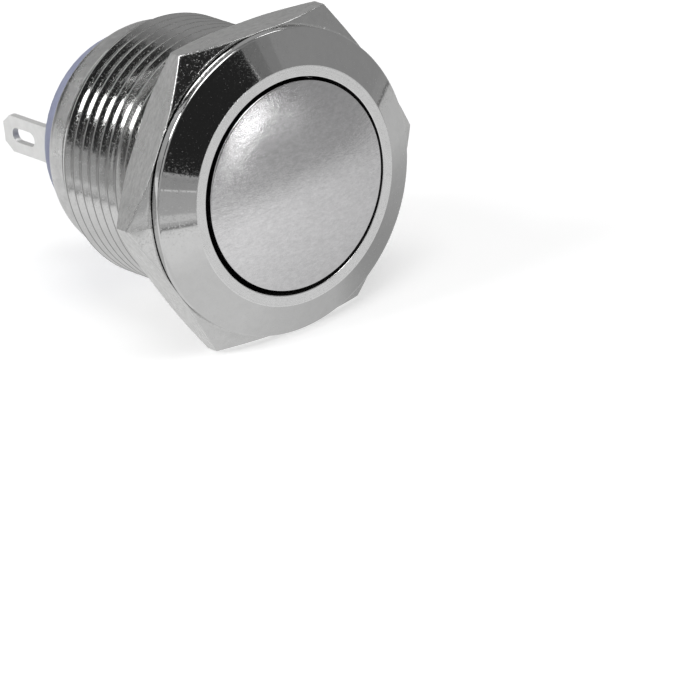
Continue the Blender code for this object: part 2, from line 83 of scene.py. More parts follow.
# %% [markdown]
# ## Shaping turned metal
# Nearly every metal piece was turned on a lathe, so it is a profile carried round the Y axis. A mesh could
# come from a Screw modifier, but then the thread's helix and the nut's hexagon would need another way.
# Here each piece is a list of rings of points, and one function joins neighbouring rings with faces.

# %% Rings of points
ROUND = 192              # points in a full ring
MERGE = 1e-7             # points closer than this, in metres, become one


def skin(name, rings, closed=True):
    """Join rings of points into one closed mesh. A ring of one point is a pole."""
    shape = bmesh.new()
    made = [[shape.verts.new(point) for point in ring] for ring in rings]
    pairs = list(zip(made, made[1:] + made[:1])) if closed else list(zip(made, made[1:]))
    for low, high in pairs:
        count = max(len(low), len(high))
        for k in range(count):
            corners = [low[k % len(low)], low[(k + 1) % len(low)],
                       high[(k + 1) % len(high)], high[k % len(high)]]
            corners = [v for n, v in enumerate(corners) if v not in corners[:n]]
            if len(corners) > 2:
                shape.faces.new(corners)
    bmesh.ops.remove_doubles(shape, verts=shape.verts, dist=MERGE)
    bmesh.ops.recalc_face_normals(shape, faces=shape.faces)
    mesh = bpy.data.meshes.new(name)
    shape.to_mesh(mesh)
    shape.free()
    piece = bpy.data.objects.new(name, mesh)
    bpy.context.scene.collection.objects.link(piece)
    return piece


def ring(radius, y, count=ROUND):
    """Points round the Y axis."""
    turns = [2 * math.pi * k / count for k in range(count)]
    return [Vector((radius * math.cos(a), y, radius * math.sin(a))) for a in turns]


print("a full ring has", ROUND, "points")

# %% [markdown]
# A corner of the profile gets a tiny rounding, because on real metal it is the rounded edge that catches the
# light. A Bevel modifier could round the finished mesh, but it treats all corners alike. So the rounding is
# drawn into the profile, corner by corner, and the mesh is then shaded smooth.


# %% Rounded corners
def eased(corners, steps=3, hold=0.03):
    """Round each corner (radius, y, ease) of a profile, with a row close by that keeps the flats flat."""
    path = []
    for index, (radius, y, ease) in enumerate(corners):
        here = Vector((radius, y))
        before = Vector(corners[index - 1][:2]) - here
        after = Vector(corners[(index + 1) % len(corners)][:2]) - here
        if ease == 0 or before.length == 0 or after.length == 0:
            path.append((radius, y))
            continue
        start, end = here + before.normalized() * ease, here + after.normalized() * ease
        if before.length > 4 * ease:
            path.append(tuple(start + before.normalized() * hold))
        for k in range(steps + 1):
            t = k / steps
            point = start * (1 - t) ** 2 + here * 2 * t * (1 - t) + end * t ** 2
            path.append(tuple(point))
        if after.length > 4 * ease:
            path.append(tuple(end + after.normalized() * hold))
    return path


def smooth(piece, sharp=32):
    """Shade a piece smooth, apart from edges sharper than the given angle."""
    piece.data.shade_smooth()
    piece.data.set_sharp_from_angle(angle=math.radians(sharp))


def in_metres(rows):
    """Rows of radius and height, given in millimetres."""
    return [(radius * MM, y * MM) for radius, y in rows]


print("one corner becomes", len(eased([(0, 0, 0), (9, 0, 1), (9, 9, 0)])) - 2, "rows")


# %% [markdown]
# ## Finishes
# A metal surface is never one flat grey. Plating follows the tool marks below it, and the roughness wanders
# a little where fingers and tools have been.
# Pictures of metal could be laid on the pieces, but they need unwrapping and they repeat. So all finishes
# are made from noise in the piece's own coordinates, and one helper makes each step of them.


# %% Tools for finishes
def new_finish(name, colour, metallic, roughness):
    """A material with its nodes, and the shader that the other helpers lead into."""
    material = bpy.data.materials.new(name)
    material.use_nodes = True
    shader = material.node_tree.nodes["Principled BSDF"]
    shader.inputs["Base Color"].default_value = (*colour, 1.0)
    shader.inputs["Metallic"].default_value = metallic
    shader.inputs["Roughness"].default_value = roughness
    return material, material.node_tree, shader


def place(tree, stretch=(1.0, 1.0, 1.0)):
    """The piece's own coordinates in millimetres, stretched to draw marks out along one direction."""
    where = tree.nodes.new("ShaderNodeTexCoord")
    scale = tree.nodes.new("ShaderNodeVectorMath")
    scale.operation = "MULTIPLY"
    scale.inputs[1].default_value = [1000 * s for s in stretch]
    tree.links.new(where.outputs["Object"], scale.inputs[0])
    return scale.outputs[0]


def noise(tree, where, size, detail=3.0, rough=0.5):
    """Noise whose features are about size millimetres across."""
    made = tree.nodes.new("ShaderNodeTexNoise")
    made.inputs["Scale"].default_value = 1.0 / size
    made.inputs["Detail"].default_value = detail
    made.inputs["Roughness"].default_value = rough
    tree.links.new(where, made.inputs["Vector"])
    return made.outputs["Fac"]


def spread(tree, value, low, high, start=0.3, end=0.7):
    """Map a value between start and end to a new range."""
    made = tree.nodes.new("ShaderNodeMapRange")
    made.inputs["From Min"].default_value = start
    made.inputs["From Max"].default_value = end
    made.inputs["To Min"].default_value = low
    made.inputs["To Max"].default_value = high
    tree.links.new(value, made.inputs["Value"])
    return made.outputs["Result"]


def tint(tree, value, dark, pale, start=0.3, end=0.7):
    """Blend two colours by a value."""
    made = tree.nodes.new("ShaderNodeValToRGB")
    made.color_ramp.elements[0].position = start
    made.color_ramp.elements[1].position = end
    made.color_ramp.elements[0].color = (*dark, 1.0)
    made.color_ramp.elements[1].color = (*pale, 1.0)
    tree.links.new(value, made.inputs["Fac"])
    return made.outputs["Color"]


print("tools for finishes ready")

# %% [markdown]
# A turned face keeps fine lines that run round the axis. A wave texture could draw rings, but they would be
# perfectly even. So noise is looked up by the distance from the axis and the place along it. That makes it
# the same all the way round, and a Bump node turns it into relief.


# %% Marks of the tool
def relief(tree, shader, value, depth, before=None):
    """Bump the surface by a value, with its depth in millimetres."""
    made = tree.nodes.new("ShaderNodeBump")
    made.inputs["Strength"].default_value = 1.0
    made.inputs["Distance"].default_value = depth * MM
    tree.links.new(value, made.inputs["Height"])
    if before is not None:
        tree.links.new(before, made.inputs["Normal"])
    tree.links.new(made.outputs["Normal"], shader.inputs["Normal"])
    return made.outputs["Normal"]


def distance_from_axis(tree, where):
    """How far a point is from the button's axis, for marks that run round it."""
    apart = tree.nodes.new("ShaderNodeSeparateXYZ")
    flat = tree.nodes.new("ShaderNodeCombineXYZ")
    length = tree.nodes.new("ShaderNodeVectorMath")
    length.operation = "LENGTH"
    tree.links.new(where, apart.inputs[0])
    tree.links.new(apart.outputs["X"], flat.inputs["X"])
    tree.links.new(apart.outputs["Z"], flat.inputs["Z"])
    tree.links.new(flat.outputs[0], length.inputs[0])
    return length.outputs["Value"], apart.outputs["Y"]


def turning_lines(tree, where, size):
    """Noise that changes only with the distance from the axis and along it, as tool marks do."""
    radius, y = distance_from_axis(tree, where)
    pair = tree.nodes.new("ShaderNodeCombineXYZ")
    tree.links.new(radius, pair.inputs["X"])
    tree.links.new(y, pair.inputs["Y"])
    return noise(tree, pair.outputs[0], size, 4.0, 0.6)


print("tools for tool marks ready")


# %% [markdown]
# ### Nickel plate
# The housing is turned brass with nickel plate. Its bevel was polished to a mirror, its face ring was left
# with fine turning lines, the thread's crests are darker and rougher, and the barrel behind the thread is
# duller and a little pitted. The bore is painted near black as shade. Each could have a material of its
# own, but the real ones come from the same bath. So they share one recipe, and differ in how rough they
# are, how deep the lines go and how much the specks show.


# %% Nickel plate
def nickel(name, colour, roughness, wander, line_depth, line_size, speck_depth=0.0015, grain=0.93):
    """Plated metal whose roughness wanders up and down. Sizes and depths are in millimetres, and grain is
    the share of the colour that the darkest parts keep."""
    material, tree, shader = new_finish(name, colour, 1.0, roughness)
    where = place(tree)
    specks = spread(tree, noise(tree, where, 0.15, 3.0, 0.8), 0.0, 1.0, 0.56, 0.74)
    cloud = noise(tree, where, 2.6, 4.0)
    dulled = tree.nodes.new("ShaderNodeMath")
    dulled.operation = "MULTIPLY_ADD"
    dulled.inputs[1].default_value = 0.3
    tree.links.new(specks, dulled.inputs[0])
    tree.links.new(spread(tree, cloud, roughness - wander, roughness + wander), dulled.inputs[2])
    tree.links.new(dulled.outputs[0], shader.inputs["Roughness"])
    shade = tint(tree, noise(tree, where, 0.7, 6.0, 0.75), [c * grain for c in colour], colour)
    tree.links.new(shade, shader.inputs["Base Color"])
    bump = relief(tree, shader, turning_lines(tree, where, line_size), line_depth)
    relief(tree, shader, specks, speck_depth, bump)
    return material


polished = nickel("polished_nickel", (0.73, 0.73, 0.727), 0.05, wander=0.02,
                  line_depth=0.0006, line_size=0.12)
faced = nickel("faced_nickel", (0.95, 0.95, 0.948), 0.2, wander=0.03,
               line_depth=0.004, line_size=0.09)
threaded = nickel("threaded_nickel", (0.74, 0.74, 0.735), 0.1, wander=0.03,
                  line_depth=0.001, line_size=0.1, speck_depth=0.002)
# the crests are darker and rougher than the flanks
dark_rough_crest = nickel("dark_rough_crest", (0.42, 0.42, 0.415), 0.42, wander=0.08,
                    line_depth=0.002, line_size=0.1, speck_depth=0.004, grain=0.8)
barrel_plate = nickel("barrel_nickel", (0.8, 0.8, 0.795), 0.3, wander=0.06,
                      line_depth=0.003, line_size=0.15, speck_depth=0.018, grain=0.75)
# painted shade: the bore, web and cap pocket are painted near black, so that the gap round the cap reads
# dark
bore_painted_shade = nickel("bore_painted_shade", (0.2, 0.2, 0.2), 0.45, wander=0.04,
                    line_depth=0.002, line_size=0.1)
print("nickel finishes made")

# %% [markdown]
# ## Housing
# One piece of brass: flange, thread, barrel and rear lip. The flange has a flat ring round the cap, a bevel
# of 27 degrees, and a narrow rim. A true helix matters, because the thread fills half the picture: rings
# that are stacked like plates would look wrong at both ends of the thread. So this part of the mesh is a
# sheet that follows the helix, cut by the chamfer at its end and by the runout behind the flange.

# %% Thread of the housing
PITCH = 1.0
CREST, CORE = 9.5, 8.9
THREAD_START, THREAD_END = 0.3, 13.3
CREST_PHASE = 0.80       # turns the start of the helix round the axis
# place within one pitch, and depth below the crest
half_tooth = [(0.0, 0.0), (0.04, 0.001), (0.052, 0.007), (0.063, 0.022), (0.073, 0.038), (0.365, 0.545),
              (0.378, 0.566), (0.4, 0.586), (0.43, 0.597), (0.5, 0.6)]
tooth = half_tooth + [(1.0 - share, depth) for share, depth in half_tooth[-2:0:-1]]


def outer_cut(y):
    """The runout behind the flange and the chamfer at the thread's end."""
    return min(CREST, CORE + max(0.0, y - THREAD_START), CORE + max(0.0, THREAD_END - y))


def thread_rows():
    """Rows that climb with the helix. Each point is held between the two ends of the thread."""
    rows = []
    turn = -1
    while THREAD_START + turn * PITCH < THREAD_END + PITCH:
        for share, depth in tooth:
            row = []
            for k in range(ROUND + 1):
                angle = 2 * math.pi * k / ROUND
                y = (turn + share + CREST_PHASE) * PITCH - PITCH * k / ROUND
                y = min(max(y, THREAD_START), THREAD_END)
                radius = min(CREST - depth, outer_cut(y))
                row.append(Vector((radius * math.cos(angle), y, radius * math.sin(angle))) * MM)
            rows.append(row)
        turn += 1
    return rows


def sheet_of(rows):
    """Join rows of points that aren't closed round the axis."""
    shape = bmesh.new()
    made = [[shape.verts.new(point) for point in row] for row in rows]
    for low, high in zip(made, made[1:]):
        for k in range(len(low) - 1):
            corners = [low[k], low[k + 1], high[k + 1], high[k]]
            if (high[k].co - low[k].co).length + (high[k + 1].co - low[k + 1].co).length > MERGE:
                shape.faces.new(corners)
    return shape


thread = thread_rows()
print("thread:", len(thread), "rows of", len(thread[0]), "points")

# %% [markdown]
# The rest of the housing is a plain turned shape. Its corners are listed once, from the thread's end over
# the barrel, the rear lip, the bore, the web, the cap's pocket and the flange back to the thread's start.
# Each corner says its radius, its place along the axis and how far it is rounded.

# %% Housing
FLANGE, FACE_EDGE, FRONT_FACE = 11.0, 8.6, -1.9
POCKET, WEB_HOLE, WEB_FRONT, WEB_BACK = 7.8, 3.3, 3.3, 4.3
BORE, LIP, REAR = 8.15, 7.75, 15.99
UNDERCUT, BARREL, BARREL_START = 8.5, 8.65, 13.8


def housing_profile():
    """Corners (radius, y, ease) from the thread's end round to its start."""
    back = [(CORE, THREAD_END, 0), (UNDERCUT, THREAD_END, 0.04), (UNDERCUT, BARREL_START, 0.04),
            (BARREL, BARREL_START, 0.03)]
    rounding = []
    for k in range(15):
        angle = math.radians(90 * k / 14)
        rounding.append((7.85 + 0.8 * math.cos(angle), 14.75 + 1.24 * math.sin(angle), 0))
    inside = [(LIP, REAR, 0.05), (LIP, 15.72, 0.02), (BORE, 15.3, 0.05), (BORE, WEB_BACK, 0.05),
              (WEB_HOLE, WEB_BACK, 0.05), (WEB_HOLE, WEB_FRONT, 0.05), (POCKET, WEB_FRONT, 0.05)]
    front = [(POCKET, FRONT_FACE, 0.05), (FACE_EDGE, FRONT_FACE, 0.035), (FLANGE, -0.65, 0.13),
             (FLANGE, 0.0, 0.1), (CORE, 0.0, 0.05), (CORE, THREAD_START, 0)]
    return back + rounding + inside + front


shape = sheet_of(thread)
profile = eased(housing_profile())
loops = [[shape.verts.new(point) for point in ring(radius, y)] for radius, y in in_metres(profile)]
for low, high in zip(loops, loops[1:]):
    for k in range(ROUND):
        shape.faces.new([low[k], low[(k + 1) % ROUND], high[(k + 1) % ROUND], high[k]])
bmesh.ops.remove_doubles(shape, verts=shape.verts, dist=2 * MERGE)
bmesh.ops.recalc_face_normals(shape, faces=shape.faces)
open_edges = sum(1 for edge in shape.edges if len(edge.link_faces) != 2)
mesh = bpy.data.meshes.new("housing_turned")
shape.to_mesh(mesh)
shape.free()
housing = bpy.data.objects.new("housing_turned", mesh)
bpy.context.scene.collection.objects.link(housing)
print("housing:", len(mesh.polygons), "faces,", open_edges, "open edges")

# %% [markdown]
# The plating differs from place to place: polished on the bevel, fine turning lines on the ring round the
# cap, darker and rougher crests, a dull barrel, and a bore painted near black as shade. One material could
# blend them with masks, but sharp borders are what the tools left. So the mesh has six materials, and each
# face gets one by where it lies.

# %% Finishes of the housing
POLISHED, FACED, THREADED, BARREL_PLATE, BORE_PAINTED_SHADE, DARK_ROUGH_CREST = range(6)
for material in (polished, faced, threaded, barrel_plate, bore_painted_shade, dark_rough_crest):
    mesh.materials.append(material)
for face in mesh.polygons:
    x, y, z = [c / MM for c in face.center]
    radius = math.hypot(x, z)
    if y < -1.86 and radius < 8.58:
        face.material_index = FACED
    elif 0.02 < y < 13.35 and radius > 8.6:
        face.material_index = DARK_ROUGH_CREST if radius > CREST - 0.025 else THREADED
    elif y > 13.35 and radius > 7.76:
        face.material_index = BARREL_PLATE
    # painted shade: faces inside the bore get the near black finish
    elif radius < 8.3 and y > -1.84:
        face.material_index = BORE_PAINTED_SHADE
    else:
        face.material_index = POLISHED
smooth(housing)
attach(housing, "body")
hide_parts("housing")
print("housing finished")

# %% [markdown]
# ## Nut
# A thin hexagon nut, cut from bar and then turned on both faces: a chamfer cuts its corners at 30 degrees,
# and each face is a little dished round the hole. A hexagonal prism could be cut by cones with a Boolean,
# but the cut's faces would be long and uneven, and mirror-like metal shows that. So the outline is sampled
# round the hexagon, and the chamfer is a height that grows with the distance from the axis, which gives
# the curved edges that a real nut has.

# %% Nut outline
FLAT, CORNER_EASE = 11.0, 0.12
NUT_FRONT, NUT_BACK = 0.12, 2.9


def nut_outline(per_flat=26, per_corner=5):
    """Angles and radii round the hexagon, with small eased corners. A corner lies on the X axis."""
    made = []
    side_half = FLAT * math.tan(math.radians(30)) - CORNER_EASE * math.tan(math.radians(30))
    for flat in range(6):
        middle = math.radians(30 + 60 * flat)
        normal = Vector((math.cos(middle), math.sin(middle)))
        along = Vector((-normal.y, normal.x))
        for k in range(per_flat + 1):
            made.append(normal * FLAT + along * side_half * (2 * k / per_flat - 1))
        centre = normal * (FLAT - CORNER_EASE) + along * side_half
        for k in range(1, per_corner):
            angle = middle + math.radians(60) * k / per_corner
            made.append(centre + CORNER_EASE * Vector((math.cos(angle), math.sin(angle))))
    return [(math.atan2(p.y, p.x), p.length) for p in made]


outline = nut_outline()


def nut_ring(radius_of, depth_of, face):
    """One ring over a face of the nut. Depth is measured into the nut from that face."""
    made = []
    for angle, edge in outline:
        radius = radius_of(edge)
        depth = depth_of(radius)
        y = NUT_FRONT + depth if face == "front" else NUT_BACK - depth
        made.append(Vector((radius * math.cos(angle), y, radius * math.sin(angle))) * MM)
    return made


print("nut outline:", len(outline), "points")

# %% [markdown]
# Both faces are alike. From the outside in there are the chamfer at the corners, a narrow flat rim, a small
# step and the dish. The rings lie close together where the surface bends, and the last ones round off the
# edge between the face and the flats.

# %% Faces of the nut
CHAMFER_START, CHAMFER_SLOPE = 11.2, math.tan(math.radians(30))
RIM_OUTER, RIM_INNER, STEP_SLOPE = 10.8, 10.72, 1.4
DISH_START, DISH_SLOPE = 0.112, 0.17
ROUND_UP_TO, EDGE_EASE = 10.92, 0.06    # further out the rings turn into hexagons


def face_depth(radius):
    """How deep a face lies below its rim."""
    if radius > CHAMFER_START:
        return (radius - CHAMFER_START) * CHAMFER_SLOPE
    if radius > RIM_OUTER:
        return 0.0
    if radius > RIM_INNER:
        return (RIM_OUTER - radius) * STEP_SLOPE
    return DISH_START + (RIM_INNER - radius) * DISH_SLOPE


def face_rings(face):
    """From the hole out to the hexagon's edge."""
    made = []
    for radius in (10.25, 10.3, 10.45, 10.6, 10.7, RIM_INNER, 10.78, RIM_OUTER, 10.84, ROUND_UP_TO):
        made.append(nut_ring(lambda edge, r=radius: r, face_depth, face))
    for share in (0.15, 0.35, 0.55, 0.75, 0.9):
        made.append(nut_ring(lambda edge, s=share: ROUND_UP_TO + (edge - EDGE_EASE - ROUND_UP_TO) * s,
                             face_depth, face))
    for back_off, drop in ((EDGE_EASE, 0.0), (0.03, 0.008), (0.01, 0.028), (0.0, EDGE_EASE)):
        made.append(nut_ring(lambda edge, b=back_off: edge - b,
                             lambda radius, d=drop: face_depth(radius) + d, face))
    return made


front_rings, back_rings = face_rings("front"), face_rings("back")
print("nut faces:", len(front_rings), "rings each")


# %% [markdown]
# The nut's own thread shows as a few dark turns inside the hole. Real threads touch, but this one is cut a
# little larger than the barrel's, so that the nut can turn freely. It needs no exact shape in there, so it
# is a wave along the hole that fades out at both ends.

# %% Nut
HOLE_RADIUS, GROOVE_DEPTH = 9.86, 0.34
HOLE_STEPS, FADE_STEPS = 60, 6
MOUTH_DEPTH = 0.55
MOUTH = ((9.88, 0.53), (9.9, 0.5), (10.2, 0.215), (10.23, 0.195))    # radius and depth
hole = []
for step in range(HOLE_STEPS + 1):
    y = NUT_FRONT + MOUTH_DEPTH + (NUT_BACK - NUT_FRONT - 2 * MOUTH_DEPTH) * step / HOLE_STEPS
    fade = min(1.0, step / FADE_STEPS, (HOLE_STEPS - step) / FADE_STEPS)
    row = []
    for angle, edge in outline:
        wave = (y + angle / (2 * math.pi) * PITCH) % PITCH
        radius = HOLE_RADIUS + GROOVE_DEPTH * (1 - abs(2 * wave - 1)) * fade
        row.append(Vector((radius * math.cos(angle), y, radius * math.sin(angle))) * MM)
    hole.append(row)
mouth_front, mouth_back = [[nut_ring(lambda edge, r=r: r, lambda radius, d=d: d, face) for r, d in MOUTH]
                           for face in ("front", "back")]
flats = []
for share in (0.02, 0.25, 0.5, 0.75, 0.98):
    row = []
    for angle, edge in outline:
        low = NUT_FRONT + face_depth(edge) + EDGE_EASE
        high = NUT_BACK - face_depth(edge) - EDGE_EASE
        row.append(Vector((edge * math.cos(angle), low + (high - low) * share, edge * math.sin(angle))) * MM)
    flats.append(row)
nut = skin("nut_hexagon", hole[::-1] + mouth_front + front_rings + flats
           + back_rings[::-1] + mouth_back[::-1])
smooth(nut, 28)
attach(nut, "nut")
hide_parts("hex_nut")
print("nut:", len(nut.data.polygons), "faces")


# %% [markdown]
# The nut is duller than the housing. Its flats keep the fine lines of the milling cutter, which run round
# the nut, and its faces keep fine turning lines. A wave texture would draw such lines too evenly, so noise
# is stretched along them, once for their relief and once for their shade.


# %% Nut finish
def milled(name, colour, roughness):
    """Plated metal with cutter lines at right angles to the axis."""
    material, tree, shader = new_finish(name, colour, 1.0, roughness)
    where = place(tree)
    lines = noise(tree, place(tree, (0.03, 1.0, 0.03)), 0.22, 3.0, 0.6)
    cloud = noise(tree, where, 2.0, 4.0)
    tree.links.new(spread(tree, cloud, roughness - 0.05, roughness + 0.06), shader.inputs["Roughness"])
    streaks = noise(tree, place(tree, (0.35, 1.0, 0.35)), 0.2, 5.0, 0.85)
    shade = tint(tree, streaks, [c * 0.72 for c in colour], colour, 0.35, 0.65)
    tree.links.new(shade, shader.inputs["Base Color"])
    bump = relief(tree, shader, lines, 0.014)
    relief(tree, shader, noise(tree, where, 0.15, 3.0, 0.75), 0.01, bump)
    return material


nut_flats = milled("nut_flats", (0.9, 0.9, 0.89), 0.3)
nut_faces = nickel("nut_faces", (0.76, 0.76, 0.755), 0.1, wander=0.03,
                   line_depth=0.003, line_size=0.1, speck_depth=0.005, grain=0.88)
for material in (nut_flats, nut_faces):
    nut.data.materials.append(material)
turned = [face for face in nut.data.polygons
          if abs(face.normal.y) > 0.4 or math.hypot(face.center.x, face.center.z) < 10.5 * MM]
for face in turned:
    face.material_index = 1
print("nut:", len(turned), "turned faces, and the others are milled")

# %% [markdown]
# ## Push cap
# The cap is turned stainless steel with a shallow dome. The finger's side was brushed to a fine satin, so
# the lights melt into soft pale patches on it. The shader's anisotropy could stretch them, but it needs a
# direction at each point, and it shows no strokes. So crossing strokes of brushing are two layers of
# stretched noise. Towards the rim the strokes run outwards from the middle, and that draws the brightest
# patch out along the rim: noise of the direction from the axis makes such strokes.


# %% Push cap finish
CAP_RADIUS = 7.5


def outward_strokes(tree, where, rim, size):
    """Strokes that run outwards, strongest at the rim. The direction from the axis is laid on the rim."""
    flat = tree.nodes.new("ShaderNodeVectorMath")
    flat.operation = "MULTIPLY"
    flat.inputs[1].default_value = (1.0, 0.0, 1.0)
    tree.links.new(where, flat.inputs[0])
    direction = tree.nodes.new("ShaderNodeVectorMath")
    direction.operation = "NORMALIZE"
    tree.links.new(flat.outputs[0], direction.inputs[0])
    laid = tree.nodes.new("ShaderNodeVectorMath")
    laid.operation = "SCALE"
    laid.inputs["Scale"].default_value = rim
    tree.links.new(direction.outputs[0], laid.inputs[0])
    drift = tree.nodes.new("ShaderNodeVectorMath")
    drift.operation = "MULTIPLY_ADD"
    drift.inputs[1].default_value = (0.06, 0.0, 0.06)
    tree.links.new(where, drift.inputs[0])
    tree.links.new(laid.outputs[0], drift.inputs[2])
    radius = distance_from_axis(tree, where)[0]
    strength = tree.nodes.new("ShaderNodeMath")
    strength.operation = "MULTIPLY"
    tree.links.new(noise(tree, drift.outputs[0], size, 3.0, 0.6), strength.inputs[0])
    tree.links.new(spread(tree, radius, 0.1, 1.0, rim * 0.55, rim * 0.95), strength.inputs[1])
    return strength.outputs[0]


def brushed_dome(name, colour, roughness):
    """Steel that was brushed two ways, with a fine grain and strokes that fan out at the rim."""
    material, tree, shader = new_finish(name, colour, 1.0, roughness)
    where = place(tree)
    one_way = noise(tree, place(tree, (0.08, 1.0, 1.0)), 0.05, 2.0, 0.6)
    other_way = noise(tree, place(tree, (1.0, 1.0, 0.08)), 0.05, 2.0, 0.6)
    cloud = noise(tree, where, 2.4, 4.0, 0.55)
    tree.links.new(spread(tree, cloud, roughness - 0.04, roughness + 0.04), shader.inputs["Roughness"])
    mottle = noise(tree, place(tree, (0.5, 1.0, 1.0)), 0.25, 5.0, 0.85)
    shade = tint(tree, mottle, [c * 0.76 for c in colour], colour)
    tree.links.new(shade, shader.inputs["Base Color"])
    bump = relief(tree, shader, one_way, 0.003)
    bump = relief(tree, shader, other_way, 0.0035, bump)
    bump = relief(tree, shader, noise(tree, where, 0.14, 2.0, 0.6), 0.004, bump)
    relief(tree, shader, outward_strokes(tree, where, CAP_RADIUS, 0.1), 0.0095, bump)
    return material


satin_dome = brushed_dome("satin_dome", (0.89, 0.884, 0.893), 0.13)
print("cap finish made")

# %% [markdown]
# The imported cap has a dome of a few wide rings, and polished light would show each of them. So the cap is
# turned again with fine rings, with its seal groove, its hollow skirt and its stem. A sphere cut flat would
# give the dome, but the profile already gives all of the cap at once.

# %% Push cap
DOME_TOP, DOME_CURVE, DOME_EDGE, DOME_RINGS = -2.9, 31.7, 7.4, 40
SEAL_GROOVE, SKIRT, STEM, CLIP_GROOVE, SPIGOT = 6.4, 5.6, 3.0, 2.2, 1.4    # radii
CAP_END = 7.8
dome = []
for k in range(1, DOME_RINGS + 1):
    radius = DOME_EDGE * k / DOME_RINGS
    dome.append((radius, DOME_TOP + DOME_CURVE - math.sqrt(DOME_CURVE ** 2 - radius ** 2), 0))
below_dome = [(CAP_RADIUS, -2.0, 0.09), (CAP_RADIUS, -1.0, 0.04), (SEAL_GROOVE, -1.0, 0.04),
              (SEAL_GROOVE, 0.4, 0.04), (CAP_RADIUS, 0.4, 0.04), (CAP_RADIUS, 1.0, 0.08),
              (SKIRT, 1.0, 0.05), (SKIRT, -1.0, 0.05), (STEM, -1.0, 0.05), (STEM, 4.3, 0.04),
              (CLIP_GROOVE, 4.3, 0.03), (CLIP_GROOVE, 5.4, 0.03), (STEM, 5.4, 0.04), (STEM, 5.9, 0.08),
              (SPIGOT, 5.9, 0.04), (SPIGOT, CAP_END, 0.06)]
profile = eased([(0.0, DOME_TOP, 0)] + dome + below_dome + [(0.0, CAP_END, 0)])[1:-1]
first, last = [[Vector((0.0, y, 0.0)) * MM] for y in (DOME_TOP, CAP_END)]
cap = skin("cap_turned", [first] + [ring(radius, y) for radius, y in in_metres(profile)] + [last],
           closed=False)
print("cap:", len(cap.data.polygons), "faces")

# %% [markdown]
# A pin holds the plunger on the cap's spigot, and its hole goes straight through. Faces could be cut by
# hand, but a Boolean drills it in one step, and the drill is thrown away afterwards. The real cap has some
# play in its hole and sits a little to one side there, so this one is moved by the same amount.

# %% Pin hole and place of the cap
PIN_HOLE, PIN_PLACE = 0.55, 6.95
OFF_CENTRE = (0.05, 0.0, 0.035)
shape = bmesh.new()
bmesh.ops.create_cone(shape, segments=32, radius1=PIN_HOLE * MM, radius2=PIN_HOLE * MM, depth=8 * MM,
                      cap_ends=True, matrix=Matrix.Translation((0.0, PIN_PLACE * MM, 0.0))
                      @ Matrix.Rotation(math.pi / 2, 4, "Y"))
drill = bpy.data.objects.new("drill", bpy.data.meshes.new("drill"))
shape.to_mesh(drill.data)
shape.free()
bpy.context.scene.collection.objects.link(drill)
cut = cap.modifiers.new("pin hole", "BOOLEAN")
cut.object = drill
cut.solver = "EXACT"
bpy.context.view_layer.update()
drilled = bpy.data.meshes.new_from_object(cap.evaluated_get(bpy.context.evaluated_depsgraph_get()))
cap.modifiers.clear()
cap.data = drilled
cap.data.transform(Matrix.Translation([along * MM for along in OFF_CENTRE]))
bpy.data.objects.remove(drill, do_unlink=True)
cap.data.materials.clear()
cap.data.materials.append(satin_dome)
smooth(cap)
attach(cap, "button")
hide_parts("button_cap")
print("cap with its pin hole:", len(cap.data.polygons), "faces")

# %% [markdown]
# ## Moulded base
# The base is a mineral filled moulding in a dusty blue. Such a moulding is matt, with a fine grain left by
# the tool and slightly uneven in colour. It could be modelled again as the cap was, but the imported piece
# already has every pocket and notch, and matt plastic hides the facets of its round edge. So it keeps its
# mesh, and a Bevel modifier softens the sharp edges.


# %% Plastic and rubber
def moulded(name, dark, pale, roughness, grain):
    """Plastic or rubber whose grain has the given depth in millimetres."""
    material, tree, shader = new_finish(name, pale, 0.0, roughness)
    where = place(tree)
    cloud = noise(tree, where, 1.6, 5.0, 0.6)
    tree.links.new(tint(tree, cloud, dark, pale), shader.inputs["Base Color"])
    tree.links.new(spread(tree, noise(tree, where, 0.5), roughness - 0.06, roughness + 0.06),
                   shader.inputs["Roughness"])
    bump = relief(tree, shader, noise(tree, where, 0.12, 3.0, 0.75), grain)
    relief(tree, shader, noise(tree, where, 0.7, 3.0), grain * 2, bump)
    return material


def dress(node, material):
    """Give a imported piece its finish."""
    slots = nodes[node].data.materials
    slots.clear()
    slots.append(material)


def ease_edges(node, width):
    """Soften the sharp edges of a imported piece, so that they catch a little light."""
    rounding = nodes[node].modifiers.new("soft edges", "BEVEL")
    rounding.width = width * MM
    rounding.segments = 2
    rounding.limit_method = "ANGLE"
    rounding.angle_limit = math.radians(50)
    rounding.harden_normals = True


blue_moulding = moulded("blue_moulding", (0.28, 0.3, 0.43), (0.35, 0.372, 0.505), 0.36, 0.014)
black_moulding = moulded("black_moulding", (0.02, 0.02, 0.022), (0.035, 0.035, 0.037), 0.4, 0.005)
white_moulding = moulded("white_moulding", (0.66, 0.65, 0.61), (0.74, 0.73, 0.69), 0.45, 0.005)
black_rubber = moulded("black_rubber", (0.012, 0.012, 0.012), (0.022, 0.022, 0.022), 0.6, 0.004)
ease_edges("base", 0.12)
dress("base", blue_moulding)
dress("plunger", black_moulding)
dress("guide_sleeve", white_moulding)
dress("cap_seal", black_rubber)
dress("base_gasket", black_rubber)
print("plastic and rubber finished")

# %% [markdown]
# ## Blades, springs and contacts
# The blades are stamped from brass strip and tinned, so they are bright and nearly white, with rolling
# lines along their length. Inside, the springs are drawn steel wire, the bridge is bare copper alloy, and
# silver tips carry the contact. Each metal could be one flat colour, but then it would look like paint, so
# one recipe gives all of them a fine grain, which can be stretched along the strip.


